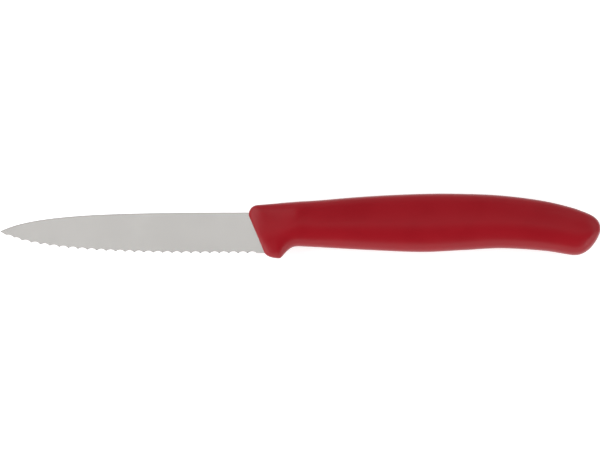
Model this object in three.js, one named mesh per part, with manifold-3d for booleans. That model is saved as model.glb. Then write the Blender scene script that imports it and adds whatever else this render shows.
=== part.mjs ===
// A fruit knife with a wavy edge: a stamped and ground steel blade whose tang is locked in a moulded handle.
//
// The knife lies on its right side. X runs from the point to the butt, Y from the edge to the spine, and Z is
// up, through the thickness. Both pieces are drawn with the spine meeting the handle's front at 0, 0 and with
// the blade's middle plane at Z 0. The knife is then set down on its bottom centre. Sizes are millimetres.
import * as THREE from "three";
import { mergeVertices } from "three/addons/utils/BufferGeometryUtils.js";
import Module from "manifold-3d";

// Blade, outside the handle
const BLADE_LENGTH = 80; // from the point to the handle, along the spine
const BLADE_HEIGHT = 13.2; // from the spine to the tooth tips at the heel
const POINT_DROP = 6.07; // of the point below the spine
const SPINE_STRAIGHT = 0.5; // before the spine starts to curve down
const SPINE_PULL = 43.1; // how long the spine's curve holds to its straight part
const SPINE_POINT_PULL = 12.1; // and to its slope at the point
const SPINE_POINT_DEG = 27.3;
const EDGE_STRAIGHT = 15.8; // before the edge starts to curve up
const EDGE_PULL = 53.8; // how long the edge's curve holds to its straight part
const EDGE_POINT_PULL = 2.24; // and to its slope at the point
const EDGE_POINT_DEG = 50.6;
const SHEET = 1.2; // thickness of the steel at the spine
const EDGE_THICKNESS = 0.3; // left by the grind at the heel
const POINT_THICKNESS = 0.5;

// Wavy edge, ground on the right side only
const TOOTH_PITCH = 3.05;
const TOOTH_DEPTH = 0.68;
const HEEL_LAND = 2.58; // plain edge between the last scallop and the handle
const POINT_LAND = 2.23; // plain edge between the first scallop and the point
const BEVEL_DEG = 18; // between a scallop's bevel and the blade's side

// Root and tang, inside the handle
const ROOT_DEPTH = 3.2; // of the full blade height behind the handle's front
const TANG_LENGTH = 50; // from the handle's front
const TANG_DROP = 2; // of the tang's top below the spine
const TANG_HEIGHT = 7.5;
const TANG_CORNER = 2.4;
const ANCHOR_RADIUS = 1.8; // of the holes that the handle's plastic runs through
const ANCHOR_PITCH = 14;
const ANCHOR_COUNT = 2;
const ANCHOR_END = 7; // from the tang's end to the last hole
const TANG_CLEARANCE = 0.3; // between the steel and the moulding

// Handle's front, guard and neck in side view, with places from the front and heights from the spine's line
const HANDLE_LENGTH = 113.85;
const FRONT_RAKE_DEG = 23; // of the handle's front off square to the spine
const FACE_TOP = 0.69; // of the flat front face's top end below the spine
const FACE_LOW = 0.82; // of its low end above the edge
const LIP_AT = 3.28; // where the front's top corner has turned into the top line
const LIP_RISE = 2.49;
const GUARD_AT = 10.14;
const GUARD_DROP = 1.59; // of the finger guard below the edge
const GUARD_PULL = 1.2; // how long the guard holds its lowest line
const NECK_PULL = 3.39; // how early the guard's back turns into the neck
const NECK_AT = 16.02;
const NECK_RISE = 3.54;
const NECK_DROP = 10.88;

// Handle's grip in side view
const THUMB_AT = 21.5;
const THUMB_RISE = 3.84;
const THUMB_DROP = 11.1;
const GRIP_AT = 38;
const GRIP_RISE = 5.18;
const GRIP_DROP = 12;
const BELLY_AT = 56.5;
const BELLY_RISE = 6.04;
const BELLY_DROP = 12.7;
const CROWN_AT = 69;
const CROWN_RISE = 6.06;
const CROWN_DROP = 12.14;
const WAIST_AT = 82;
const WAIST_RISE = 5.5;
const WAIST_DROP = 11.5;
const TAIL_BACK = 17.35; // in front of the butt
const TAIL_RISE = 3.6;
const TAIL_DROP = 12.39;
const HEEL_BACK = 8.09; // in front of the butt
const HEEL_RISE = 1.3;
const HEEL_DROP = 13.72;
const HEEL_FALL_DEG = 22; // slope of the top line at the heel
const HEEL_LOW_PULL = 5.33; // how long the heel holds its low and its top line
const HEEL_TOP_PULL = 3.77;
const BUTT_DROP = 5.59; // of the butt's end below the spine's line
const BUTT_LOW_PULL = 1.4; // how long the butt holds its upright end, below and above
const BUTT_TOP_PULL = 4.66;

// Handle, in thickness
const HANDLE_THICKNESS = 13; // from its belly to its waist
const FRONT_THICKNESS = 6.6;
const GUARD_THICKNESS = 8.2;
const NECK_THICKNESS = 11.9;
const THUMB_THICKNESS = 11.75;
const GRIP_THICKNESS = 12.4;
const TAIL_THICKNESS = 12.6;
const HEEL_THICKNESS = 12.2;
const FRONT_EDGE = 0.7; // rounding round the handle's front
const BUTT_POWER = 4; // how squarely the thickness closes at the butt
const HOLLOW_AT = 18.5; // of the shallow hollow behind the guard, low on each side
const HOLLOW_DROP = 6.5;
const HOLLOW_LENGTH = 3.6;
const HOLLOW_HEIGHT = 5;
const HOLLOW_DEPTH = 0.3;

// Handle's cross-section, as the powers with which its sides leave the crest and turn in at the back and the
// belly, and how finely it is cut up
const TOP_CREST = 1.6;
const TOP_CORNER = 4.5;
const LOW_CREST = 2;
const LOW_CORNER = 2;
const RING_POINTS = 40;
const RING_STEP = 2.2;
const RINGS_LEAST = 2; // between two sections of the handle
const CORNER_SECTIONS = 8; // round each end and corner of the handle
const POLE_STEP = 0.25; // of such a section's step, left for the point that closes the butt
const SPINE_STEPS = 14;
const EDGE_STEPS = 32;
const ARC_STEPS = 6;
const BAR_SIDES = 24;
const WHEEL_SIDES = 96;

// Finishes
const STEEL = { color: 0xc6c4c0, roughness: 0.35, metalness: 1 };
const RED_PLASTIC = { color: 0x92232a, roughness: 0.45, metalness: 0 };

const wasm = await Module();
wasm.setup();

// A closed geometry as a solid that can be joined and cut
function solidOf(geometry) {
  const bare = geometry.clone();
  bare.deleteAttribute("normal");
  bare.deleteAttribute("uv");
  const merged = mergeVertices(bare, 1e-4);
  return new wasm.Manifold(
    new wasm.Mesh({
      numProp: 3,
      vertProperties: new Float32Array(merged.attributes.position.array),
      triVerts: new Uint32Array(merged.index.array),
    }),
  );
}

// A solid as a geometry with flat faces
function geometryOf(solid) {
  const mesh = solid.getMesh();
  const geometry = new THREE.BufferGeometry();
  geometry.setAttribute("position", new THREE.BufferAttribute(mesh.vertProperties, 3));
  geometry.setIndex(new THREE.BufferAttribute(mesh.triVerts, 1));
  const faceted = geometry.toNonIndexed();
  faceted.computeVertexNormals();
  return faceted;
}

// A flat outline as a plate of the given thickness, centred on the blade's middle plane
function plate(points, thickness) {
  const shape = new THREE.Shape(points);
  const geometry = new THREE.ExtrudeGeometry(shape, { depth: thickness, bevelEnabled: false });
  return geometry.translate(0, 0, -thickness / 2);
}

const point2 = (x, y) => new THREE.Vector2(x, y);

// Where the raked front of the handle stands at a given height
const rake = Math.tan(THREE.MathUtils.degToRad(FRONT_RAKE_DEG));
const frontAt = (y) => -y * rake;

// A place at a distance from the blade's point, on a slope
const bladePoint = point2(-BLADE_LENGTH, -POINT_DROP);
function offPoint(distance, degrees) {
  const turn = THREE.MathUtils.degToRad(degrees);
  return point2(bladePoint.x + distance * Math.cos(turn), bladePoint.y + distance * Math.sin(turn));
}

// The back of the blade, from the point to where it runs straight
const spineCurve = new THREE.CubicBezierCurve(
  bladePoint,
  offPoint(SPINE_POINT_PULL, SPINE_POINT_DEG),
  point2(-SPINE_STRAIGHT - SPINE_PULL, 0),
  point2(-SPINE_STRAIGHT, 0),
);

// The line that the tooth tips touch, from the heel to the point
const heelX = frontAt(-BLADE_HEIGHT);
const edgeStart = point2(heelX - HEEL_LAND, -BLADE_HEIGHT);
const edgeBend = point2(-EDGE_STRAIGHT, -BLADE_HEIGHT);
const edgeCurve = new THREE.CubicBezierCurve(
  edgeBend,
  point2(-EDGE_STRAIGHT - EDGE_PULL, -BLADE_HEIGHT),
  offPoint(EDGE_POINT_PULL, -EDGE_POINT_DEG),
  bladePoint,
);
const edgeLine = new THREE.CurvePath();
edgeLine.add(new THREE.LineCurve(edgeStart, edgeBend));
edgeLine.add(edgeCurve);

// The root and tang, from the spine round to the heel, grown by a clearance
function hiddenOutline(grow) {
  const end = TANG_LENGTH + grow;
  const top = -TANG_DROP + grow;
  const low = -TANG_DROP - TANG_HEIGHT - grow;
  const corner = TANG_CORNER + grow;
  const root = (y) => frontAt(y) + ROOT_DEPTH + grow;
  const tang = new THREE.Path();
  tang.moveTo(root(top), top);
  tang.lineTo(end - corner, top);
  tang.absarc(end - corner, top - corner, corner, Math.PI / 2, 0, true);
  tang.absarc(end - corner, low + corner, corner, 0, -Math.PI / 2, true);
  tang.lineTo(root(low), low);
  return [
    point2(root(grow), grow),
    ...tang.getPoints(ARC_STEPS),
    point2(root(-BLADE_HEIGHT - grow), -BLADE_HEIGHT - grow),
  ];
}

// Half the blade's thickness after grinding, which makes each side one plane
const grindFall = (SHEET - EDGE_THICKNESS) / 2 / BLADE_HEIGHT;
const grindTaper = ((SHEET - POINT_THICKNESS) / 2 - grindFall * POINT_DROP) / BLADE_LENGTH;
const grindHalf = (x, y) => SHEET / 2 + grindTaper * x + grindFall * y;

// What the grind leaves: a wedge as far as the root, and the whole sheet behind it. The wedge goes round the
// blade's outline at a margin, and its low corner is cut off below the edge's curve.
function groundSpace(grow) {
  const margin = SHEET;
  const stop = heelX + ROOT_DEPTH + margin;
  const low = -BLADE_HEIGHT - margin / 2;
  const outline = [
    point2(stop, margin),
    point2(bladePoint.x - margin, margin),
    point2(bladePoint.x - margin, bladePoint.y - margin),
    point2((edgeCurve.v1.x + edgeCurve.v2.x) / 2, low),
    point2(stop, low),
  ];
  const wedge = plate(outline, SHEET);
  const corners = wedge.attributes.position;
  for (let i = 0; i < corners.count; i++) {
    const side = Math.sign(corners.getZ(i));
    corners.setZ(i, side * (grindHalf(corners.getX(i), corners.getY(i)) + grow));
  }
  const behind = new THREE.BoxGeometry(TANG_LENGTH, BLADE_HEIGHT * 2, SHEET + 2 * grow);
  behind.translate(stop + TANG_LENGTH / 2, -BLADE_HEIGHT / 2, 0);
  return solidOf(wedge).add(solidOf(behind));
}

// The holes in the tang, or the plugs of plastic in them, as round bars through the sheet
function anchorBars(radius) {
  const bars = [];
  const through = SHEET + 4 * TANG_CLEARANCE;
  for (let i = 0; i < ANCHOR_COUNT; i++) {
    const bar = new THREE.CylinderGeometry(radius, radius, through, BAR_SIDES);
    bar.rotateX(Math.PI / 2);
    bar.translate(TANG_LENGTH - ANCHOR_END - i * ANCHOR_PITCH, -TANG_DROP - TANG_HEIGHT / 2, 0);
    bars.push(solidOf(bar));
  }
  return bars;
}

// The grinding wheel of one scallop: a cylinder tilted by the bevel, which leaves the left side's edge sharp
function scallopWheel(place, along) {
  const bevel = THREE.MathUtils.degToRad(BEVEL_DEG);
  const scallopRadius = TOOTH_PITCH ** 2 / (8 * TOOTH_DEPTH) + TOOTH_DEPTH / 2;
  const inward = point2(along.y, -along.x);
  const depth = inward.clone().multiplyScalar(TOOTH_DEPTH).add(place);
  const sine = Math.sin(bevel);
  const cosine = Math.cos(bevel);
  const radius = scallopRadius / sine;
  const axis = new THREE.Vector3(inward.x * cosine, inward.y * cosine, -sine);
  const out = new THREE.Vector3(-inward.x * sine, -inward.y * sine, -cosine);
  const side = new THREE.Vector3().crossVectors(axis, out);
  const centre = new THREE.Vector3(depth.x, depth.y, grindHalf(depth.x, depth.y));
  centre.addScaledVector(out, radius);
  const wheel = new THREE.CylinderGeometry(radius, radius, (2 * SHEET) / sine, WHEEL_SIDES);
  wheel.applyMatrix4(new THREE.Matrix4().makeBasis(side, axis, out).setPosition(centre));
  return solidOf(wheel);
}

// The scallops' middles along the edge: at the pitch from the heel, with the last one set back from the point
function scallopPlaces(length) {
  const end = length - POINT_LAND;
  const places = [];
  for (let stop = TOOTH_PITCH; stop < end; stop += TOOTH_PITCH) {
    places.push(stop - TOOTH_PITCH / 2);
  }
  places.push(end - TOOTH_PITCH / 2);
  return places;
}

function bladeGeometry() {
  const outline = [
    ...spineCurve.getPoints(SPINE_STEPS),
    ...hiddenOutline(0),
    edgeStart,
    ...edgeCurve.getPoints(EDGE_STEPS).slice(0, -1),
  ];
  let blade = solidOf(plate(outline, SHEET)).intersect(groundSpace(0));
  for (const bar of anchorBars(ANCHOR_RADIUS)) {
    blade = blade.subtract(bar);
  }
  const length = edgeLine.getLength();
  for (const place of scallopPlaces(length)) {
    const share = place / length;
    blade = blade.subtract(scallopWheel(edgeLine.getPointAt(share), edgeLine.getTangentAt(share)));
  }
  return geometryOf(blade);
}

// One of the sections that the handle's skin runs through, from its lowest to its highest point
function section(low, top, thickness) {
  return { low: new THREE.Vector3(low.x, low.y, thickness / 2), top: new THREE.Vector3(top.x, top.y, 0) };
}

// A quarter of an ellipse, from upright at one place to level at the other
function quarter(from, to, turn) {
  return point2(from.x + (to.x - from.x) * (1 - Math.cos(turn)), from.y + (to.y - from.y) * Math.sin(turn));
}

// The front's rounded rim, from the flat face to the lip above and the guard below
const lip = point2(LIP_AT, LIP_RISE);
const guard = point2(GUARD_AT, -BLADE_HEIGHT - GUARD_DROP);
function frontSections() {
  const faceTop = point2(frontAt(-FACE_TOP), -FACE_TOP);
  const faceLow = point2(frontAt(FACE_LOW - BLADE_HEIGHT), FACE_LOW - BLADE_HEIGHT);
  const made = [];
  for (let i = 0; i <= CORNER_SECTIONS; i++) {
    const share = i / CORNER_SECTIONS;
    const turn = (share * Math.PI) / 2;
    const grown = FRONT_THICKNESS + (GUARD_THICKNESS - FRONT_THICKNESS) * (1 - Math.cos(turn));
    const rim = 2 * FRONT_EDGE * (1 - share) ** 2;
    made.push(section(quarter(faceLow, guard, turn), quarter(faceTop, lip, turn), grown - rim));
  }
  return made;
}

// The guard's back, which rises to the neck
const neckLow = point2(NECK_AT, -NECK_DROP);
const neckTop = point2(NECK_AT, NECK_RISE);
function guardSections() {
  const back = new THREE.CubicBezierCurve(
    guard,
    point2(guard.x + GUARD_PULL, guard.y),
    point2(neckLow.x - NECK_PULL, neckLow.y),
    neckLow,
  );
  const made = [];
  for (let i = 1; i < CORNER_SECTIONS; i++) {
    const share = i / CORNER_SECTIONS;
    const thickness = THREE.MathUtils.lerp(GUARD_THICKNESS, NECK_THICKNESS, share);
    made.push(section(back.getPoint(share), lip.clone().lerp(neckTop, share), thickness));
  }
  return made;
}

// The butt, which closes in from the heel to a round end
const heelAt = HANDLE_LENGTH - HEEL_BACK;
const buttEnd = point2(HANDLE_LENGTH, -BUTT_DROP);
function buttSections() {
  const fall = HEEL_TOP_PULL * Math.tan(THREE.MathUtils.degToRad(HEEL_FALL_DEG));
  const low = new THREE.CubicBezierCurve(
    point2(heelAt, -HEEL_DROP),
    point2(heelAt + HEEL_LOW_PULL, -HEEL_DROP),
    point2(buttEnd.x, buttEnd.y - BUTT_LOW_PULL),
    buttEnd,
  );
  const top = new THREE.CubicBezierCurve(
    point2(heelAt, HEEL_RISE),
    point2(heelAt + HEEL_TOP_PULL, HEEL_RISE - fall),
    point2(buttEnd.x, buttEnd.y + BUTT_TOP_PULL),
    buttEnd,
  );
  const made = [];
  for (let i = 0; i <= CORNER_SECTIONS; i++) {
    const share = i / (CORNER_SECTIONS + POLE_STEP);
    const lowPoint = low.getPoint(share);
    const topPoint = top.getPoint(share);
    const reach = ((lowPoint.x + topPoint.x) / 2 - heelAt) / HEEL_BACK;
    const closing = (1 - reach ** BUTT_POWER) ** (1 / BUTT_POWER);
    made.push(section(lowPoint, topPoint, HEEL_THICKNESS * closing));
  }
  return made;
}

// The sections from the raked front, round the finger guard and along the grip to the butt
function handleSections() {
  const upright = (at, drop, rise, thickness) => section(point2(at, -drop), point2(at, rise), thickness);
  return [
    ...frontSections(),
    ...guardSections(),
    section(neckLow, neckTop, NECK_THICKNESS),
    upright(THUMB_AT, THUMB_DROP, THUMB_RISE, THUMB_THICKNESS),
    upright(GRIP_AT, GRIP_DROP, GRIP_RISE, GRIP_THICKNESS),
    upright(BELLY_AT, BELLY_DROP, BELLY_RISE, HANDLE_THICKNESS),
    upright(CROWN_AT, CROWN_DROP, CROWN_RISE, HANDLE_THICKNESS),
    upright(WAIST_AT, WAIST_DROP, WAIST_RISE, HANDLE_THICKNESS),
    upright(HANDLE_LENGTH - TAIL_BACK, TAIL_DROP, TAIL_RISE, TAIL_THICKNESS),
    ...buttSections(),
  ];
}

// One ring of the skin, as a superellipse between its lowest and highest points
function ringPoints(low, top) {
  const middle = low.clone().lerp(top, 0.5).setZ(0);
  const made = [];
  for (let k = 0; k < RING_POINTS; k++) {
    const turn = (2 * Math.PI * k) / RING_POINTS;
    const [crest, corner] = Math.sin(turn) < 0 ? [LOW_CREST, LOW_CORNER] : [TOP_CREST, TOP_CORNER];
    const up = Math.sign(Math.sin(turn)) * Math.abs(Math.sin(turn)) ** (2 / crest);
    const out = Math.sign(Math.cos(turn)) * Math.abs(Math.cos(turn)) ** (2 / corner);
    const x = middle.x + (up * (top.x - low.x)) / 2;
    const y = middle.y + (up * (top.y - low.y)) / 2;
    const away = point2((x - HOLLOW_AT) / HOLLOW_LENGTH, (y + HOLLOW_DROP) / HOLLOW_HEIGHT);
    made.push(x, y, out * (low.z - HOLLOW_DEPTH * Math.exp(-away.lengthSq())));
  }
  return made;
}

// The closed skin of the handle, as rings of points on smooth curves through the sections
function handleSkin() {
  const sections = handleSections();
  const spans = sections.length - 1;
  const lowCurve = new THREE.CatmullRomCurve3(sections.map((s) => s.low));
  const topCurve = new THREE.CatmullRomCurve3(sections.map((s) => s.top));
  const rings = [];
  for (let span = 0; span < spans; span++) {
    const reach = sections[span].low.distanceTo(sections[span + 1].low);
    const steps = Math.max(RINGS_LEAST, Math.ceil(reach / RING_STEP));
    for (let step = 0; step < steps; step++) {
      rings.push((span + step / steps) / spans);
    }
  }
  rings.push(1);
  const positions = [];
  for (const share of rings) {
    positions.push(...ringPoints(lowCurve.getPoint(share), topCurve.getPoint(share)));
  }
  const face = sections[0].low.clone().lerp(sections[0].top, 0.5);
  const first = rings.length * RING_POINTS;
  positions.push(face.x, face.y, 0);
  positions.push(buttEnd.x, buttEnd.y, 0);
  const faces = [];
  const last = (rings.length - 1) * RING_POINTS;
  for (let k = 0; k < RING_POINTS; k++) {
    const next = (k + 1) % RING_POINTS;
    for (let base = 0; base < last; base += RING_POINTS) {
      const ahead = base + RING_POINTS;
      faces.push(base + k, ahead + k, ahead + next, base + k, ahead + next, base + next);
    }
    faces.push(first, k, next, first + 1, last + next, last + k);
  }
  const geometry = new THREE.BufferGeometry();
  geometry.setAttribute("position", new THREE.Float32BufferAttribute(positions, 3));
  geometry.setIndex(faces);
  return geometry;
}

// The hollow that the plastic leaves round the root and tang, open at the handle's front
function tangHollow() {
  const lead = -ROOT_DEPTH;
  const outline = [
    point2(lead, TANG_CLEARANCE),
    ...hiddenOutline(TANG_CLEARANCE),
    point2(lead, -BLADE_HEIGHT - TANG_CLEARANCE),
  ];
  const block = solidOf(plate(outline, SHEET + 2 * TANG_CLEARANCE));
  let hollow = block.intersect(groundSpace(TANG_CLEARANCE));
  for (const bar of anchorBars(ANCHOR_RADIUS - TANG_CLEARANCE)) {
    hollow = hollow.subtract(bar);
  }
  return hollow;
}

function handleGeometry() {
  return geometryOf(solidOf(handleSkin()).subtract(tangHollow()));
}

function namedMesh(name, geometry, finish) {
  const mesh = new THREE.Mesh(geometry, new THREE.MeshStandardMaterial(finish));
  mesh.name = name;
  return mesh;
}

// The knife, set down with its box's bottom centre at the origin
const knife = new THREE.Group();
knife.add(namedMesh("blade", bladeGeometry(), STEEL));
knife.add(namedMesh("handle", handleGeometry(), RED_PLASTIC));
const box = new THREE.Box3().setFromObject(knife);
const centre = box.getCenter(new THREE.Vector3());
knife.position.set(-centre.x, -centre.y, -box.min.z);

export default knife;
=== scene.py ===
"""Looks of a fruit knife: a ground steel blade with a wavy edge, moulded into a red plastic handle.

Everything is in metres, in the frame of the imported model. The knife lies on its right side, with X from the
point to the butt and Y from the edge to the spine. Pieces are drawn round a datum, the place where the spine
meets the handle's front on the blade's middle plane, and are then moved to it.
"""
import math
from collections import namedtuple

import bmesh
import bpy
from bpy.props import FloatProperty, FloatVectorProperty, PointerProperty
from mathutils import Matrix, Vector
from mathutils.geometry import interpolate_bezier


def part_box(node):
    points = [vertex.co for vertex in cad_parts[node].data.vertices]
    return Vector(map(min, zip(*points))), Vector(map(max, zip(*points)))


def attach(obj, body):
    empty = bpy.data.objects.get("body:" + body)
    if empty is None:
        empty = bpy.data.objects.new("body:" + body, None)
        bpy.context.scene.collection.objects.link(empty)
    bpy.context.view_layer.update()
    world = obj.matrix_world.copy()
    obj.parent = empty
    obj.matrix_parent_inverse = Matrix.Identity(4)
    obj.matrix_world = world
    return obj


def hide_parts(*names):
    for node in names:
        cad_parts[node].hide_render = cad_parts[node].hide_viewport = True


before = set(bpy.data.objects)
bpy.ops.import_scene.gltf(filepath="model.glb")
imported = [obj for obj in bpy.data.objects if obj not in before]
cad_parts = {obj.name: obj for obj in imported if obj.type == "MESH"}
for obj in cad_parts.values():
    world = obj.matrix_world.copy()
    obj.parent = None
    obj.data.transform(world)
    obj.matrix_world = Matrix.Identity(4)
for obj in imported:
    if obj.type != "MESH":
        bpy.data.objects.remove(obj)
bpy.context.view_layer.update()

bl_info = {
    "name": "Fruit Knife",
    "version": (1, 0, 0),
    "blender": (4, 5, 0),
    "location": "View3D > Sidebar > Fruit Knife",
    "description": "Models a fruit knife with a wavy edge and a moulded handle, and the studio it lies in",
    "category": "Add Mesh",
}

MM = 0.001

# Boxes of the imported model, and the datum that the pieces are drawn round
BLADE_LOW, BLADE_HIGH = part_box("blade")
HANDLE_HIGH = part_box("handle")[1]
HANDLE_LENGTH = 113.85 * MM
DATUM = Vector((HANDLE_HIGH.x - HANDLE_LENGTH, BLADE_HIGH.y, (BLADE_LOW.z + BLADE_HIGH.z) / 2))

# Curves of the blade's spine and edge: where they leave the straight, and how long they hold their ends
SPINE_STRAIGHT = 0.5 * MM
SPINE_PULL = 43.1 * MM
SPINE_POINT_PULL = 12.1 * MM
SPINE_POINT_SLOPE = math.radians(27.3)
EDGE_STRAIGHT = 15.8 * MM
EDGE_PULL = 53.8 * MM
EDGE_POINT_PULL = 2.24 * MM
EDGE_POINT_SLOPE = math.radians(50.6)
SPINE_STEPS = 48
EDGE_SAMPLES = 600
SCALLOP_STEPS = 18

# Root and tang inside the handle
ROOT_DEPTH = 3.2 * MM
TANG_LENGTH = BLADE_HIGH.x - DATUM.x
TANG_DROP = 2 * MM
TANG_HEIGHT = 7.5 * MM
TANG_CORNER = 2.4 * MM
TANG_CORNER_STEPS = 6
ANCHOR_RADIUS = 1.8 * MM
ANCHOR_PITCH = 14 * MM
ANCHOR_COUNT = 2
ANCHOR_END = 7 * MM
ANCHOR_SIDES = 48
ANCHOR_BAR_SHEETS = 3

# Front, guard and neck of the handle, from the datum
FACE_TOP = 0.69 * MM
FACE_LOW = 0.82 * MM
LIP_AT = 3.28 * MM
LIP_RISE = 2.49 * MM
GUARD_AT = 10.14 * MM
GUARD_PULL = 1.2 * MM
NECK_PULL = 3.39 * MM
FRONT_NARROWING = 6.4 * MM
GUARD_NARROWING = 4.8 * MM
FRONT_EDGE = 0.7 * MM

# Stations of the grip, with the narrowing that each has from the full thickness, and how far the last of them
# is in front of the butt
Station = namedtuple("Station", "at rise drop narrowing")
TAIL_BACK = 17.35 * MM
NECK = Station(16.02 * MM, 3.54 * MM, 10.88 * MM, 1.1 * MM)
GRIP = (
    NECK,
    Station(21.5 * MM, 3.84 * MM, 11.1 * MM, 1.25 * MM),
    Station(38 * MM, 5.18 * MM, 12 * MM, 0.6 * MM),
    Station(56.5 * MM, 6.04 * MM, 12.7 * MM, 0),
    Station(69 * MM, 6.06 * MM, 12.14 * MM, 0),
    Station(82 * MM, 5.5 * MM, 11.5 * MM, 0),
    Station(HANDLE_LENGTH - TAIL_BACK, 3.6 * MM, 12.39 * MM, 0.4 * MM),
)

# Butt
HEEL_BACK = 8.09 * MM
HEEL = Station(HANDLE_LENGTH - HEEL_BACK, 1.3 * MM, 13.72 * MM, 0.8 * MM)
HEEL_SLOPE = math.radians(22)
HEEL_LOW_PULL = 5.33 * MM
HEEL_TOP_PULL = 3.77 * MM
BUTT_DROP = 5.59 * MM
BUTT_LOW_PULL = 1.4 * MM
BUTT_TOP_PULL = 4.66 * MM
BUTT_POWER = 4

# Shallow hollow behind the guard, low on each side
HOLLOW_AT = 18.5 * MM
HOLLOW_DROP = 6.5 * MM
HOLLOW_LENGTH = 3.6 * MM
HOLLOW_HEIGHT = 5 * MM
HOLLOW_DEPTH = 0.3 * MM

# Cross-section of the handle, as the powers with which its sides leave the crest and turn in at the back and
# the belly, and how finely it is cut up
TOP_CREST = 1.6
TOP_CORNER = 4.5
LOW_CREST = 2
LOW_CORNER = 2
RING_POINTS = 72
RING_STEP = 1.1 * MM
RINGS_LEAST = 2
CORNER_SECTIONS = 8
POLE_STEP = 0.25

# Segments of a rounded corner, and how near the middle plane the crest of the parting line lies
BEVEL_SEGMENTS = 2
SEAM_REACH = 0.004 * MM

# The middle of the picture, from the datum
VIEW_CENTRE = Vector((16.905 * MM, -3.992 * MM, 0))

# Softboxes of the studio, each with the setting that holds its brightness and with what it lights. The steel
# would mirror the strong ones as plain white, so they are kept off it, and it has dim cards in their places.
Softbox = namedtuple("Softbox", "name place width height setting lights")
SOFTBOXES = (
    Softbox("overhead_panel", (-0.01, -0.015, 1.0), 1.02, 0.3, "overhead", "all"),
    Softbox("front_softbox", (0, -0.8, 0.13), 1.6, 0.26, "front", "not_steel"),
    Softbox("back_softbox", (0, 0.85, 0.3), 1.6, 0.5, "back", "all"),
    Softbox("point_softbox", (-0.8, 0.35, 0.6), 1.1, 0.9, "point_side", "not_steel"),
    Softbox("butt_softbox", (0.8, 0.35, 0.6), 1.1, 0.9, "butt_side", "not_steel"),
    Softbox("point_corner", (-0.75, -0.55, 0.35), 0.8, 0.6, "point_corner", "not_steel"),
    Softbox("butt_corner", (0.75, -0.55, 0.35), 0.8, 0.6, "butt_corner", "not_steel"),
    Softbox("front_card", (0, -0.9, 0.45), 2, 1, "cards", "steel"),
    Softbox("point_card", (-1, 0, 0.5), 2, 1.1, "cards", "steel"),
    Softbox("butt_card", (1, 0, 0.5), 2, 1.1, "cards", "steel"),
)
LINK_STATES = {"steel": "INCLUDE", "not_steel": "EXCLUDE"}
BLADE_PIECE = "ground_blade"

# How much lighter or darker than its colour a finish is in places
TINT_SPREAD = 0.03

# How far from the knife's middle the light added to the floor starts to grow, and where it is full
FLOOR_NEAR = 0.2
FLOOR_FAR = 1.2

# Angles past which an edge of the blade and of the handle is shaded sharp
SMOOTH_BLADE = math.radians(12)
SMOOTH_HANDLE = math.radians(35)


class BladeSettings(bpy.types.PropertyGroup):
    """Sizes and finish of the blade."""

    length: FloatProperty(
        name="Length",
        description="From the point to the handle, along the spine",
        default=DATUM.x - BLADE_LOW.x,
        unit="LENGTH",
    )
    height: FloatProperty(
        name="Height",
        description="From the spine to the tooth tips at the heel",
        default=BLADE_HIGH.y - BLADE_LOW.y,
        unit="LENGTH",
    )
    point_drop: FloatProperty(
        name="Point Drop",
        description="Of the point below the spine",
        default=6.07 * MM,
        unit="LENGTH",
    )
    sheet: FloatProperty(
        name="Sheet",
        description="Thickness of the steel at the spine",
        default=BLADE_HIGH.z - BLADE_LOW.z,
        unit="LENGTH",
    )
    edge_thickness: FloatProperty(
        name="Edge Thickness",
        description="Left by the grind at the heel, before the scallops are cut",
        default=0.3 * MM,
        unit="LENGTH",
    )
    point_thickness: FloatProperty(
        name="Point Thickness",
        description="Left by the grind at the point",
        default=0.5 * MM,
        unit="LENGTH",
    )
    tooth_pitch: FloatProperty(
        name="Tooth Pitch",
        description="From one scallop of the edge to the next",
        default=3.05 * MM,
        unit="LENGTH",
    )
    tooth_depth: FloatProperty(
        name="Tooth Depth",
        description="Of a scallop below the tooth tips",
        default=0.68 * MM,
        unit="LENGTH",
    )
    heel_land: FloatProperty(
        name="Heel Land",
        description="Plain edge between the handle and the first scallop",
        default=2.58 * MM,
        unit="LENGTH",
    )
    point_land: FloatProperty(
        name="Point Land",
        description="Plain edge between the last scallop and the point",
        default=2.23 * MM,
        unit="LENGTH",
    )
    bevel: FloatProperty(
        name="Bevel",
        description="Between a scallop's bevel, on the right side, and the blade's side",
        default=math.radians(18),
        subtype="ANGLE",
    )
    tip_facet: FloatProperty(
        name="Tip Facet",
        description="Height of the honed facet that blunts each tooth tip on the left side",
        default=0.34 * MM,
        unit="LENGTH",
    )
    tip_angle: FloatProperty(
        name="Tip Angle",
        description="Between a tooth's honed facet and the blade's side",
        default=math.radians(16),
        subtype="ANGLE",
    )
    easing: FloatProperty(
        name="Spine Easing",
        description="Rounding of the spine's two corners",
        default=0.14 * MM,
        unit="LENGTH",
    )
    color: FloatVectorProperty(
        name="Colour",
        description="Colour that the steel reflects",
        default=(0.676, 0.658, 0.635),
        subtype="COLOR",
        min=0,
        max=1,
    )


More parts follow.
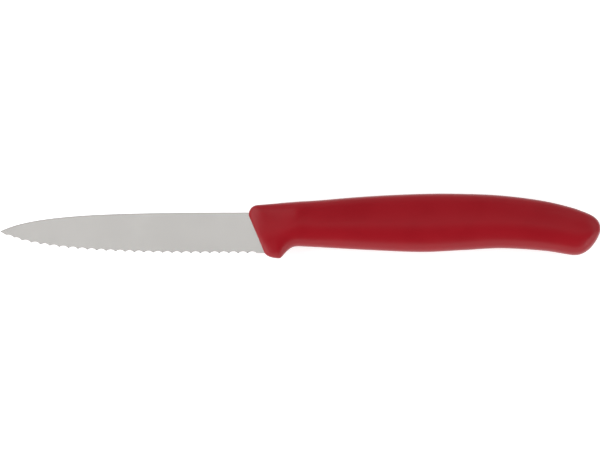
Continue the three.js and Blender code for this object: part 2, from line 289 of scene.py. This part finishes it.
class HandleSettings(bpy.types.PropertyGroup):
    """Sizes and finish of the handle."""

    thickness: FloatProperty(
        name="Thickness",
        description="Through the belly of the grip",
        default=13 * MM,
        unit="LENGTH",
    )
    front_rake: FloatProperty(
        name="Front Rake",
        description="Of the handle's front, off square to the spine",
        default=math.radians(23),
        subtype="ANGLE",
    )
    guard_drop: FloatProperty(
        name="Guard Drop",
        description="Of the finger guard below the blade's edge",
        default=1.59 * MM,
        unit="LENGTH",
    )
    fit: FloatProperty(
        name="Fit",
        description="Gap between the moulding and the steel",
        default=0.03 * MM,
        unit="LENGTH",
    )
    parting_width: FloatProperty(
        name="Parting Width",
        description="Half the width of the mould's parting line",
        default=0.16 * MM,
        unit="LENGTH",
    )
    parting_height: FloatProperty(
        name="Parting Height",
        description="How far the mould's parting line stands proud",
        default=0.04 * MM,
        unit="LENGTH",
    )
    color: FloatVectorProperty(
        name="Colour",
        description="Colour of the plastic",
        default=(0.285, 0.0045, 0.0105),
        subtype="COLOR",
        min=0,
        max=1,
    )


class StageSettings(bpy.types.PropertyGroup):
    """The camera, the floor and the light levels of the studio."""

    lens: FloatProperty(
        name="Lens",
        description="Focal length of the camera, in millimetres",
        default=150,
    )
    view_width: FloatProperty(
        name="View Width",
        description="What the picture spans at the blade's middle plane",
        default=193.94 * MM,
        unit="LENGTH",
    )
    floor_size: FloatProperty(
        name="Floor Size",
        description="Side of the square floor",
        default=12,
        unit="LENGTH",
    )
    floor_color: FloatVectorProperty(
        name="Floor Colour",
        description="Colour of the pale floor",
        default=(0.7, 0.7, 0.7),
        subtype="COLOR",
        min=0,
        max=1,
    )
    floor_lift: FloatProperty(
        name="Floor Lift",
        description="Light added to the floor near the knife where it is seen, so that it reaches white",
        default=0.6,
    )
    dome: FloatProperty(
        name="Dome",
        description="Light from all round",
        default=0.05,
    )
    overhead: FloatProperty(
        name="Overhead",
        description="Brightness of the panel over the knife",
        default=1,
    )
    front: FloatProperty(
        name="Front",
        description="Brightness of the softbox on the edge's side",
        default=2,
    )
    back: FloatProperty(
        name="Back",
        description="Brightness of the softbox on the spine's side",
        default=0.7,
    )
    point_side: FloatProperty(
        name="Point Side",
        description="Brightness of the softbox beyond the point",
        default=2.8,
    )
    butt_side: FloatProperty(
        name="Butt Side",
        description="Brightness of the softbox beyond the butt",
        default=1.45,
    )
    point_corner: FloatProperty(
        name="Point Corner",
        description="Brightness of the softbox at the point's corner, on the edge's side",
        default=3.7,
    )
    butt_corner: FloatProperty(
        name="Butt Corner",
        description="Brightness of the softbox at the butt's corner, on the edge's side",
        default=2.8,
    )
    cards: FloatProperty(
        name="Cards",
        description="Brightness of the dim cards that only the steel mirrors",
        default=0.5,
    )


def link_piece(name, mesh, material, node):
    """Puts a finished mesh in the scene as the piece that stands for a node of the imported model."""
    piece = bpy.data.objects.new(name, mesh)
    bpy.context.scene.collection.objects.link(piece)
    mesh.materials.clear()
    mesh.materials.append(material)
    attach(piece, "root")
    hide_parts(node)


def mesh_of(bm, name):
    """A bmesh as a mesh whose faces point outwards."""
    bmesh.ops.recalc_face_normals(bm, faces=bm.faces)
    mesh = bpy.data.meshes.new(name)
    bm.to_mesh(mesh)
    bm.free()
    return mesh


def cut_mesh(mesh, cutter):
    """The mesh with the cutter taken out of it. Both are used up."""
    body = bpy.data.objects.new("body", mesh)
    tool = bpy.data.objects.new("tool", cutter)
    for item in (body, tool):
        bpy.context.scene.collection.objects.link(item)
    cut = body.modifiers.new("cut", "BOOLEAN")
    cut.operation = "DIFFERENCE"
    cut.solver = "EXACT"
    cut.object = tool
    graph = bpy.context.evaluated_depsgraph_get()
    made = bpy.data.meshes.new_from_object(body.evaluated_get(graph))
    for item in (body, tool):
        bpy.data.objects.remove(item)
    for used in (mesh, cutter):
        bpy.data.meshes.remove(used)
    return made


def front_at(y):
    """Where the raked front of the handle stands at a height from the datum."""
    return -y * math.tan(bpy.context.scene.fruit_knife_handle.front_rake)


def turned(length, angle):
    """A flat step of a length at an angle from X."""
    return Vector((length * math.cos(angle), length * math.sin(angle), 0))


def spine_points(blade):
    """The blade's back, from the point to where it runs straight."""
    point = Vector((-blade.length, -blade.point_drop, 0))
    straight = Vector((-SPINE_STRAIGHT, 0, 0))
    leave = point + turned(SPINE_POINT_PULL, SPINE_POINT_SLOPE)
    arrive = straight - Vector((SPINE_PULL, 0, 0))
    return interpolate_bezier(point, leave, arrive, straight, SPINE_STEPS)


def hidden_corners(blade, grow):
    """The root and tang, from the spine round to the heel, grown by a gap."""
    end = TANG_LENGTH + grow
    top = grow - TANG_DROP
    low = -TANG_DROP - TANG_HEIGHT - grow
    corner = TANG_CORNER + grow

    def root(y):
        return Vector((front_at(y) + ROOT_DEPTH + grow, y, 0))

    points = [root(grow), root(top)]
    for centre, start in ((top - corner, math.pi / 2), (low + corner, 0)):
        for step in range(TANG_CORNER_STEPS + 1):
            turn = start - step / TANG_CORNER_STEPS * math.pi / 2
            points.append(Vector((end - corner, centre, 0)) + turned(corner, turn))
    return points + [root(low), root(-blade.height - grow)]


class EdgeLine:
    """The line that the tooth tips touch, from the heel to the point."""

    def __init__(self, blade):
        low = -blade.height
        point = Vector((-blade.length, -blade.point_drop, 0))
        bend = Vector((-EDGE_STRAIGHT, low, 0))
        leave = bend - Vector((EDGE_PULL, 0, 0))
        arrive = point + turned(EDGE_POINT_PULL, -EDGE_POINT_SLOPE)
        start = Vector((front_at(low) - blade.heel_land, low, 0))
        self.places = [start] + interpolate_bezier(bend, leave, arrive, point, EDGE_SAMPLES)
        self.marks = [0]
        for before, after in zip(self.places, self.places[1:]):
            self.marks.append(self.marks[-1] + (after - before).length)
        self.length = self.marks[-1]

    def at(self, distance):
        """The place at a distance from the heel, and the direction into the blade there."""
        last = len(self.marks) - 2
        after = next((i for i, mark in enumerate(self.marks[1:]) if mark >= distance), last)
        before, ahead = self.places[after], self.places[after + 1]
        along = (ahead - before).normalized()
        return before + along * (distance - self.marks[after]), Vector((along.y, -along.x, 0))


def scallop_spans(blade, line):
    """Start, middle and end of each scallop: at the pitch from the heel, the last set back from the point."""
    half = blade.tooth_pitch / 2
    end = line.length - blade.point_land
    middles = [half + i * blade.tooth_pitch for i in range(int(end / blade.tooth_pitch))]
    middles.append(end - half)
    cusps = [0] + [(a + b) / 2 for a, b in zip(middles, middles[1:])] + [end]
    return list(zip(cusps, middles, cusps[1:]))


def grind_slopes(blade):
    """How fast half the blade's thickness changes along X and Y, which makes each side one plane."""
    fall = (blade.sheet - blade.edge_thickness) / 2 / blade.height
    taper = ((blade.sheet - blade.point_thickness) / 2 - fall * blade.point_drop) / blade.length
    return Vector((taper, fall, 0))


def half_thickness(blade, place):
    """Half the thickness of the ground blade at a place from the datum."""
    return blade.sheet / 2 + grind_slopes(blade).dot(place)


def edge_points(blade):
    """The wavy edge on the left side: places with the way into the blade and the height above the tips."""
    line = EdgeLine(blade)
    radius = blade.tooth_pitch ** 2 / (8 * blade.tooth_depth) + blade.tooth_depth / 2
    made = []
    for start, middle, end in scallop_spans(blade, line):
        for step in range(SCALLOP_STEPS):
            distance = start + (end - start) * step / SCALLOP_STEPS
            place, inward = line.at(distance)
            height = math.sqrt(radius ** 2 - (distance - middle) ** 2) - radius + blade.tooth_depth
            made.append((place + inward * height, inward, height))
    place, inward = line.at(end)
    made.append((place, inward, 0))
    return made


def blade_outline(bm, blade):
    """The left side's outline, with the step from each vertex to its place on the right side."""
    across = bm.verts.layers.float_vector.new("across")
    spine = bm.verts.layers.int.new("spine")
    slopes = grind_slopes(blade)
    bevel_fall = math.tan(blade.bevel)
    facet_fall = math.tan(blade.tip_angle)

    def add(place, step=None):
        half = half_thickness(blade, place)
        vert = bm.verts.new((place.x, place.y, half))
        vert[across] = step or Vector((0, 0, -2 * half))
        return vert

    verts = []
    for place in spine_points(blade) + [Vector((front_at(0), 0, 0))]:
        vert = add(place)
        vert[spine] = 1
        verts.append(vert)
    for place in hidden_corners(blade, 0):
        verts.append(add(place))
    teeth = []
    for place, inward, height in edge_points(blade):
        reach = 2 * half_thickness(blade, place) / (bevel_fall - slopes.dot(inward))
        ruling = inward - Vector((0, 0, bevel_fall))
        honed = max(0, blade.tip_facet - height) * facet_fall / (bevel_fall + facet_fall)
        vert = add(place, ruling * (reach - honed))
        vert.co += ruling * honed
        verts.append(vert)
        teeth.append((vert, height))
    bm.faces.new(verts)
    return teeth


def blade_mesh(blade):
    """The blade: a ground sheet with an eased spine, honed tooth tips and scallops cut from the right."""
    bm = bmesh.new()
    teeth = blade_outline(bm, blade)
    across = bm.verts.layers.float_vector["across"]
    spine = bm.verts.layers.int["spine"]
    made = bmesh.ops.extrude_face_region(bm, geom=list(bm.faces), use_keep_orig=True)
    right = {item for item in made["geom"] if isinstance(item, bmesh.types.BMVert)}
    for vert in right:
        vert.co += vert[across]
    mark_facets(bm, blade, teeth)
    corners = [
        edge
        for edge in bm.edges
        if edge.verts[0][spine] and edge.verts[1][spine]
        and (edge.verts[0] in right) == (edge.verts[1] in right)
    ]
    bmesh.ops.bevel(
        bm, geom=corners, offset=blade.easing,
        affect="EDGES", segments=BEVEL_SEGMENTS, profile=0.5, material=-1,
    )
    bmesh.ops.translate(bm, verts=bm.verts, vec=DATUM)
    sheet = mesh_of(bm, "blade")
    return cut_mesh(sheet, anchor_bars(blade, ANCHOR_RADIUS))


def mark_facets(bm, blade, teeth):
    """Draws the upper line of each honed facet across its tooth, on the left side."""
    run = []
    for i, (vert, height) in enumerate(teeth):
        if height < blade.tip_facet:
            run.append(i)
        elif run:
            if run[0] > 0:
                bmesh.ops.connect_verts(bm, verts=[teeth[run[0] - 1][0], vert])
            run = []


def anchor_bars(blade, radius):
    """Round bars through the tang's holes, each a few sheets long, as one mesh."""
    bm = bmesh.new()
    for i in range(ANCHOR_COUNT):
        place = Vector((TANG_LENGTH - ANCHOR_END - i * ANCHOR_PITCH, -TANG_DROP - TANG_HEIGHT / 2, 0))
        bmesh.ops.create_cone(
            bm, cap_ends=True, segments=ANCHOR_SIDES, radius1=radius, radius2=radius,
            depth=ANCHOR_BAR_SHEETS * blade.sheet, matrix=Matrix.Translation(DATUM + place),
        )
    return mesh_of(bm, "bars")


class KNIFE_OT_add_blade(bpy.types.Operator):
    """Models the ground steel blade with its wavy edge and its tang"""

    bl_idname = "knife.add_blade"
    bl_label = "Add Blade"

    def execute(self, context):
        blade = context.scene.fruit_knife_blade
        mesh = blade_mesh(blade)
        mesh.shade_smooth()
        mesh.set_sharp_from_angle(angle=SMOOTH_BLADE)
        link_piece(BLADE_PIECE, mesh, steel_material(blade), "blade")
        return {"FINISHED"}


def smooth_span(points, span, steps):
    """Places along one span of the smooth curve through the points, without the span's end."""
    start, end = points[span], points[span + 1]
    before = points[span - 1] if span else 2 * start - end
    after = points[span + 2] if span + 2 < len(points) else 2 * end - start
    gaps = [(b - a).length ** 0.5 for a, b in ((before, start), (start, end), (end, after))]
    first = (start - before) / gaps[0] - (end - before) / (gaps[0] + gaps[1]) + (end - start) / gaps[1]
    last = (end - start) / gaps[1] - (after - start) / (gaps[1] + gaps[2]) + (after - end) / gaps[2]
    leave = start + first * gaps[1] / 3
    arrive = end - last * gaps[1] / 3
    return interpolate_bezier(start, leave, arrive, end, steps + 1)[:-1]


def section(low, top, thickness):
    """A section of the handle: its lowest place, which carries half the thickness, and its highest place."""
    return Vector((low.x, low.y, thickness / 2)), Vector((top.x, top.y, 0))


def upright(station, thickness):
    """A section square to the spine."""
    low = Vector((station.at, -station.drop, 0))
    top = Vector((station.at, station.rise, 0))
    return section(low, top, thickness - station.narrowing)


def quarter(start, end, turn):
    """A place on the quarter ellipse that leaves one place upright and reaches the other level."""
    reach = end - start
    return start + Vector((reach.x * (1 - math.cos(turn)), reach.y * math.sin(turn), 0))


def front_sections(blade, handle):
    """The front's rounded rim, then the guard's back up to the neck."""
    face_low = Vector((front_at(FACE_LOW - blade.height), FACE_LOW - blade.height, 0))
    face_top = Vector((front_at(-FACE_TOP), -FACE_TOP, 0))
    lip = Vector((LIP_AT, LIP_RISE, 0))
    guard = Vector((GUARD_AT, -blade.height - handle.guard_drop, 0))
    front = handle.thickness - FRONT_NARROWING
    collar = handle.thickness - GUARD_NARROWING
    neck = handle.thickness - NECK.narrowing
    made = []
    for i in range(CORNER_SECTIONS + 1):
        share = i / CORNER_SECTIONS
        turn = share * math.pi / 2
        grown = front + (collar - front) * (1 - math.cos(turn))
        rim = 2 * FRONT_EDGE * (1 - share) ** 2
        made.append(section(quarter(face_low, guard, turn), quarter(face_top, lip, turn), grown - rim))
    neck_low = Vector((NECK.at, -NECK.drop, 0))
    neck_top = Vector((NECK.at, NECK.rise, 0))
    leave = guard + Vector((GUARD_PULL, 0, 0))
    arrive = neck_low - Vector((NECK_PULL, 0, 0))
    back = interpolate_bezier(guard, leave, arrive, neck_low, CORNER_SECTIONS + 1)
    for i in range(1, CORNER_SECTIONS):
        share = i / CORNER_SECTIONS
        made.append(section(back[i], lip.lerp(neck_top, share), collar + (neck - collar) * share))
    return made


def butt_sections(handle):
    """The butt, which closes in from the heel to a round end."""
    end = Vector((HANDLE_LENGTH, -BUTT_DROP, 0))
    low = Vector((HEEL.at, -HEEL.drop, 0))
    top = Vector((HEEL.at, HEEL.rise, 0))
    low_leave = low + Vector((HEEL_LOW_PULL, 0, 0))
    top_leave = top + Vector((HEEL_TOP_PULL, -HEEL_TOP_PULL * math.tan(HEEL_SLOPE), 0))
    low_arrive = end - Vector((0, BUTT_LOW_PULL, 0))
    top_arrive = end + Vector((0, BUTT_TOP_PULL, 0))
    steps = round((CORNER_SECTIONS + POLE_STEP) / POLE_STEP) + 1
    lows = interpolate_bezier(low, low_leave, low_arrive, end, steps)
    tops = interpolate_bezier(top, top_leave, top_arrive, end, steps)
    stride = round(1 / POLE_STEP)
    made = []
    for i in range(0, steps - 1, stride):
        reach = ((lows[i].x + tops[i].x) / 2 - HEEL.at) / HEEL_BACK
        closing = (1 - reach ** BUTT_POWER) ** (1 / BUTT_POWER)
        made.append(section(lows[i], tops[i], (handle.thickness - HEEL.narrowing) * closing))
    return made


def handle_rings(blade, handle):
    """Lowest and highest places of every ring of the handle's skin."""
    sections = front_sections(blade, handle)
    sections += [upright(station, handle.thickness) for station in GRIP]
    sections += butt_sections(handle)
    lows, tops = zip(*sections)
    rings = []
    for span in range(len(sections) - 1):
        reach = (lows[span + 1] - lows[span]).length
        steps = max(RINGS_LEAST, math.ceil(reach / RING_STEP))
        rings += zip(smooth_span(lows, span, steps), smooth_span(tops, span, steps))
    return rings + [sections[-1]]


def add_ring(bm, low, top):
    """A ring of the skin, as a circle drawn out to a superellipse. Returns its edges."""
    seam = bm.verts.layers.int["seam"]
    made = bmesh.ops.create_circle(bm, cap_ends=False, radius=1, segments=RING_POINTS)
    middle = (low + top) / 2
    reach = (top - low) / 2
    for vert in made["verts"]:
        out, up = vert.co.x, vert.co.y
        crest, corner = (LOW_CREST, LOW_CORNER) if up < 0 else (TOP_CREST, TOP_CORNER)
        vert[seam] = abs(out) < 0.5 * math.sin(math.tau / RING_POINTS)
        up = math.copysign(abs(up) ** (2 / crest), up)
        out = 0 if vert[seam] else math.copysign(abs(out) ** (2 / corner), out)
        place = middle + up * reach
        away = Vector(((place.x - HOLLOW_AT) / HOLLOW_LENGTH, (place.y + HOLLOW_DROP) / HOLLOW_HEIGHT))
        hollow = out * HOLLOW_DEPTH * math.exp(-away.length_squared)
        vert.co = Vector((place.x, place.y, out * low.z - hollow))
    return list({edge for vert in made["verts"] for edge in vert.link_edges})


def raise_parting(bm, handle):
    """The fine line that the two halves of the mould leave along the back and the belly."""
    seam = bm.verts.layers.int["seam"]
    line = [e for e in bm.edges if e.verts[0][seam] and e.verts[1][seam] and e.verts[0].co.x > LIP_AT]
    bmesh.ops.bevel(
        bm, geom=line, offset=handle.parting_width,
        affect="EDGES", segments=BEVEL_SEGMENTS, profile=0.5, material=-1,
    )
    bm.normal_update()
    for vert in bm.verts:
        if abs(vert.co.z) < SEAM_REACH and vert.co.x > GUARD_AT:
            vert.co += vert.normal * handle.parting_height


def handle_mesh(blade, handle):
    """The handle: a skin of rings, closed at the front and the butt, with the pocket that the tang fills."""
    bm = bmesh.new()
    bm.verts.layers.int.new("seam")
    rings = [add_ring(bm, low, top) for low, top in handle_rings(blade, handle)]
    for ring, following in zip(rings, rings[1:]):
        bmesh.ops.bridge_loops(bm, edges=ring + following)
    bmesh.ops.edgeloop_fill(bm, edges=rings[0])
    butt = bmesh.ops.edgeloop_fill(bm, edges=rings[-1])
    pole = bmesh.ops.poke(bm, faces=butt["faces"])
    pole["verts"][0].co = Vector((HANDLE_LENGTH, -BUTT_DROP, 0))
    bmesh.ops.recalc_face_normals(bm, faces=bm.faces)
    raise_parting(bm, handle)
    bmesh.ops.translate(bm, verts=bm.verts, vec=DATUM)
    skin = mesh_of(bm, "handle")
    return cut_mesh(skin, pocket_mesh(blade, handle))


def pocket_mesh(blade, handle):
    """The space round the root and tang, less the plugs of plastic in the tang's holes."""
    bm = bmesh.new()
    gap = handle.fit
    # It opens through the raked front, so it starts ahead of the handle
    lead = -ROOT_DEPTH
    corners = [Vector((lead, gap, 0))] + hidden_corners(blade, gap)
    corners.append(Vector((lead, -blade.height - gap, 0)))
    side = bm.faces.new([bm.verts.new(place) for place in corners])
    made = bmesh.ops.extrude_face_region(bm, geom=[side], use_keep_orig=True)
    right = {item for item in made["geom"] if isinstance(item, bmesh.types.BMVert)}
    for vert in bm.verts:
        half = half_thickness(blade, vert.co) + gap
        vert.co.z = -half if vert in right else half
    bmesh.ops.translate(bm, verts=bm.verts, vec=DATUM)
    return cut_mesh(mesh_of(bm, "pocket"), anchor_bars(blade, ANCHOR_RADIUS - gap))


class KNIFE_OT_add_handle(bpy.types.Operator):
    """Models the moulded handle with its guard, its butt and the tang's pocket"""

    bl_idname = "knife.add_handle"
    bl_label = "Add Handle"

    def execute(self, context):
        handle = context.scene.fruit_knife_handle
        mesh = handle_mesh(context.scene.fruit_knife_blade, handle)
        mesh.shade_smooth()
        mesh.set_sharp_from_angle(angle=SMOOTH_HANDLE)
        link_piece("moulded_handle", mesh, plastic_material(handle), "handle")
        return {"FINISHED"}


def new_group(name, inputs, outputs):
    """An empty shader node group with float and vector sockets. Returns it with its two end nodes."""
    group = bpy.data.node_groups.new(name, "ShaderNodeTree")
    for direction, sockets in (("INPUT", inputs), ("OUTPUT", outputs)):
        for label, kind in sockets:
            group.interface.new_socket(label, in_out=direction, socket_type=kind)
    return group, group.nodes.new("NodeGroupInput"), group.nodes.new("NodeGroupOutput")


def add_noise(group, size):
    """A noise texture in a group, as coarse as the size that a socket gives."""
    scale = group.nodes.new("ShaderNodeMath")
    scale.operation = "DIVIDE"
    scale.inputs[0].default_value = 1
    noise = group.nodes.new("ShaderNodeTexNoise")
    group.links.new(size, scale.inputs[1])
    group.links.new(scale.outputs[0], noise.inputs["Scale"])
    return noise


def grain_group():
    """Fine grain of a set size, which can be drawn out along an axis into grinding lines."""
    if "grain" in bpy.data.node_groups:
        return bpy.data.node_groups["grain"]
    group, start, end = new_group(
        "grain",
        (("Vector", "NodeSocketVector"), ("Stretch", "NodeSocketVector"), ("Size", "NodeSocketFloat")),
        (("Grain", "NodeSocketFloat"),),
    )
    stretch = group.nodes.new("ShaderNodeVectorMath")
    stretch.operation = "MULTIPLY"
    noise = add_noise(group, start.outputs["Size"])
    noise.inputs["Detail"].default_value = 3
    group.links.new(start.outputs["Vector"], stretch.inputs[0])
    group.links.new(start.outputs["Stretch"], stretch.inputs[1])
    group.links.new(stretch.outputs[0], noise.inputs["Vector"])
    group.links.new(noise.outputs[0], end.inputs["Grain"])
    return group


def handling_group():
    """Broad soft patches, as hands and cloths leave them."""
    if "handling" in bpy.data.node_groups:
        return bpy.data.node_groups["handling"]
    group, start, end = new_group(
        "handling",
        (("Vector", "NodeSocketVector"), ("Spread", "NodeSocketFloat")),
        (("Patches", "NodeSocketFloat"),),
    )
    noise = add_noise(group, start.outputs["Spread"])
    noise.inputs["Detail"].default_value = 4
    noise.inputs["Roughness"].default_value = 0.6
    spread = group.nodes.new("ShaderNodeMapRange")
    spread.interpolation_type = "SMOOTHSTEP"
    spread.inputs["From Min"].default_value = 0.35
    spread.inputs["From Max"].default_value = 0.65
    group.links.new(start.outputs["Vector"], noise.inputs["Vector"])
    group.links.new(noise.outputs[0], spread.inputs["Value"])
    group.links.new(spread.outputs[0], end.inputs["Patches"])
    return group


class Finish:
    """A material under construction, with short ways to place and join its nodes."""

    def __init__(self, name):
        self.material = bpy.data.materials.new(name)
        self.material.use_nodes = True
        self.nodes = self.material.node_tree.nodes
        self.links = self.material.node_tree.links
        self.shader = self.nodes["Principled BSDF"]
        self.place = self.nodes.new("ShaderNodeTexCoord").outputs["Object"]

    def group(self, tree, **values):
        """A node group on the object's coordinates, with its own values."""
        node = self.nodes.new("ShaderNodeGroup")
        node.node_tree = tree
        self.links.new(self.place, node.inputs["Vector"])
        for label, value in values.items():
            node.inputs[label].default_value = value
        return node.outputs[0]

    def spread(self, mask, low, high):
        """A mask as a value between two levels."""
        node = self.nodes.new("ShaderNodeMapRange")
        node.inputs["To Min"].default_value = low
        node.inputs["To Max"].default_value = high
        self.links.new(mask, node.inputs["Value"])
        return node.outputs[0]

    def total(self, first, second):
        """Two values added up."""
        node = self.nodes.new("ShaderNodeMath")
        self.links.new(first, node.inputs[0])
        self.links.new(second, node.inputs[1])
        return node.outputs[0]

    def shade(self, mask, color):
        """A colour that a mask makes a little darker and lighter."""
        node = self.nodes.new("ShaderNodeMix")
        node.data_type = "RGBA"
        self.links.new(mask, node.inputs[0])
        # The node's colours are its inputs 6 and 7 and its output 2
        node.inputs[6].default_value = (*Vector(color) * (1 - TINT_SPREAD), 1)
        node.inputs[7].default_value = (*Vector(color) * (1 + TINT_SPREAD), 1)
        return node.outputs[2]

    def bump(self, height, strength, distance):
        """Fine relief from a height."""
        node = self.nodes.new("ShaderNodeBump")
        node.inputs["Strength"].default_value = strength
        node.inputs["Distance"].default_value = distance
        self.links.new(height, node.inputs["Height"])
        self.links.new(node.outputs[0], self.shader.inputs["Normal"])

    def feed(self, label, value):
        """Joins a value to the shader."""
        self.links.new(value, self.shader.inputs[label])


def steel_material(blade):
    """Satin ground stainless steel, with grinding lines along the blade."""
    finish = Finish("satin_steel")
    streaks = finish.group(grain_group(), Stretch=(0.012, 1, 1), Size=0.45 * MM)
    lines = finish.group(grain_group(), Stretch=(0.02, 1, 1), Size=0.07 * MM)
    patches = finish.group(handling_group(), Spread=16 * MM)
    finish.feed("Base Color", finish.shade(streaks, blade.color))
    ground = finish.spread(streaks, low=0.22, high=0.26)
    wiped = finish.spread(patches, low=0, high=0.015)
    finish.feed("Roughness", finish.total(ground, wiped))
    finish.bump(lines, strength=0.08, distance=0.002 * MM)
    finish.shader.inputs["Metallic"].default_value = 1
    return finish.material


def plastic_material(handle):
    """Satin moulded plastic with the fine grain of an eroded mould."""
    finish = Finish("red_plastic")
    grain = finish.group(grain_group(), Stretch=(1, 1, 1), Size=0.2 * MM)
    patches = finish.group(handling_group(), Spread=14 * MM)
    finish.feed("Base Color", finish.shade(patches, handle.color))
    eroded = finish.spread(grain, low=0.33, high=0.39)
    handled = finish.spread(patches, low=-0.02, high=0.02)
    finish.feed("Roughness", finish.total(eroded, handled))
    finish.bump(grain, strength=0.2, distance=0.012 * MM)
    finish.shader.inputs["Specular IOR Level"].default_value = 0.22
    return finish.material


def floor_material(stage):
    """A pale floor that reaches white where it is seen, and keeps the knife's shadow."""
    finish = Finish("pale_floor")
    finish.shader.inputs["Base Color"].default_value = (*stage.floor_color, 1)
    finish.shader.inputs["Roughness"].default_value = 0.9
    finish.shader.inputs["Specular IOR Level"].default_value = 0
    finish.shader.inputs["Emission Color"].default_value = (1, 1, 1, 1)
    path = finish.nodes.new("ShaderNodeLightPath")
    seen = path.outputs["Is Camera Ray"]
    for label in ("Is Glossy Ray", "Is Transmission Ray"):
        seen = finish.total(seen, path.outputs[label])
    away = finish.nodes.new("ShaderNodeVectorMath")
    away.operation = "LENGTH"
    finish.links.new(finish.place, away.inputs[0])
    lift = finish.nodes.new("ShaderNodeMapRange")
    lift.inputs["From Min"].default_value = FLOOR_NEAR
    lift.inputs["From Max"].default_value = FLOOR_FAR
    lift.inputs["To Min"].default_value = stage.floor_lift
    lift.inputs["To Max"].default_value = 1
    finish.links.new(away.outputs["Value"], lift.inputs["Value"])
    strength = finish.nodes.new("ShaderNodeMath")
    strength.operation = "MULTIPLY"
    finish.links.new(seen, strength.inputs[0])
    finish.links.new(lift.outputs[0], strength.inputs[1])
    finish.feed("Emission Strength", strength.outputs[0])
    return finish.material


def add_floor(stage):
    """The floor that the knife lies on."""
    bm = bmesh.new()
    bmesh.ops.create_grid(bm, x_segments=1, y_segments=1, size=stage.floor_size / 2)
    mesh = mesh_of(bm, "floor")
    floor = bpy.data.objects.new("floor", mesh)
    bpy.context.scene.collection.objects.link(floor)
    mesh.materials.append(floor_material(stage))


def receivers(lights):
    """What a softbox lights, as a collection that takes the blade in or leaves it out."""
    if lights in bpy.data.collections:
        return bpy.data.collections[lights]
    lit = bpy.data.collections.new(lights)
    lit.objects.link(bpy.data.objects[BLADE_PIECE])
    lit.collection_objects[0].light_linking.link_state = LINK_STATES[lights]
    return lit


def add_softbox(softbox, brightness):
    """A rectangular softbox of even brightness that faces the knife."""
    lamp = bpy.data.lights.new(softbox.name, "AREA")
    lamp.shape = "RECTANGLE"
    lamp.size = softbox.width
    lamp.size_y = softbox.height
    lamp.energy = brightness * math.pi * softbox.width * softbox.height
    box = bpy.data.objects.new(softbox.name, lamp)
    box.location = softbox.place
    box.rotation_euler = (DATUM - box.location).to_track_quat("-Z", "Y").to_euler()
    box.visible_camera = False
    if softbox.lights in LINK_STATES:
        box.light_linking.receiver_collection = receivers(softbox.lights)
    bpy.context.scene.collection.objects.link(box)


def add_camera(stage):
    """The camera, straight above the knife."""
    lens = bpy.data.cameras.new("camera")
    lens.lens = stage.lens
    camera = bpy.data.objects.new("camera", lens)
    distance = stage.view_width * stage.lens / lens.sensor_width
    camera.location = DATUM + VIEW_CENTRE + Vector((0, 0, distance))
    bpy.context.scene.collection.objects.link(camera)
    bpy.context.scene.camera = camera


class KNIFE_OT_set_stage(bpy.types.Operator):
    """Sets up the camera, the floor and the studio light"""

    bl_idname = "knife.set_stage"
    bl_label = "Set Stage"

    def execute(self, context):
        stage = context.scene.fruit_knife_stage
        add_camera(stage)
        add_floor(stage)
        for softbox in SOFTBOXES:
            add_softbox(softbox, getattr(stage, softbox.setting))
        world = bpy.data.worlds.new("studio")
        world.use_nodes = True
        background = world.node_tree.nodes["Background"]
        background.inputs["Color"].default_value = (1, 1, 1, 1)
        background.inputs["Strength"].default_value = stage.dome
        context.scene.world = world
        context.scene.view_settings.view_transform = "Standard"
        return {"FINISHED"}


class KNIFE_PT_sidebar(bpy.types.Panel):
    """Buttons and settings of the fruit knife"""

    bl_label = "Fruit Knife"
    bl_idname = "KNIFE_PT_sidebar"
    bl_space_type = "VIEW_3D"
    bl_region_type = "UI"
    bl_category = "Fruit Knife"

    def draw(self, context):
        groups = (
            (KNIFE_OT_add_blade, context.scene.fruit_knife_blade),
            (KNIFE_OT_add_handle, context.scene.fruit_knife_handle),
            (KNIFE_OT_set_stage, context.scene.fruit_knife_stage),
        )
        for operator, settings in groups:
            box = self.layout.box()
            box.operator(operator.bl_idname)
            for label in settings.__annotations__:
                box.prop(settings, label)


CLASSES = (
    BladeSettings,
    HandleSettings,
    StageSettings,
    KNIFE_OT_add_blade,
    KNIFE_OT_add_handle,
    KNIFE_OT_set_stage,
    KNIFE_PT_sidebar,
)


def register():
    """Adds the settings, operators and panel to Blender."""
    for item in CLASSES:
        bpy.utils.register_class(item)
    bpy.types.Scene.fruit_knife_blade = PointerProperty(type=BladeSettings)
    bpy.types.Scene.fruit_knife_handle = PointerProperty(type=HandleSettings)
    bpy.types.Scene.fruit_knife_stage = PointerProperty(type=StageSettings)


def unregister():
    """Takes them out again."""
    del bpy.types.Scene.fruit_knife_stage
    del bpy.types.Scene.fruit_knife_handle
    del bpy.types.Scene.fruit_knife_blade
    for item in reversed(CLASSES):
        bpy.utils.unregister_class(item)


def main():
    """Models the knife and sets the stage."""
    register()
    bpy.ops.knife.add_blade()
    bpy.ops.knife.add_handle()
    bpy.ops.knife.set_stage()


if __name__ == "__main__":
    main()
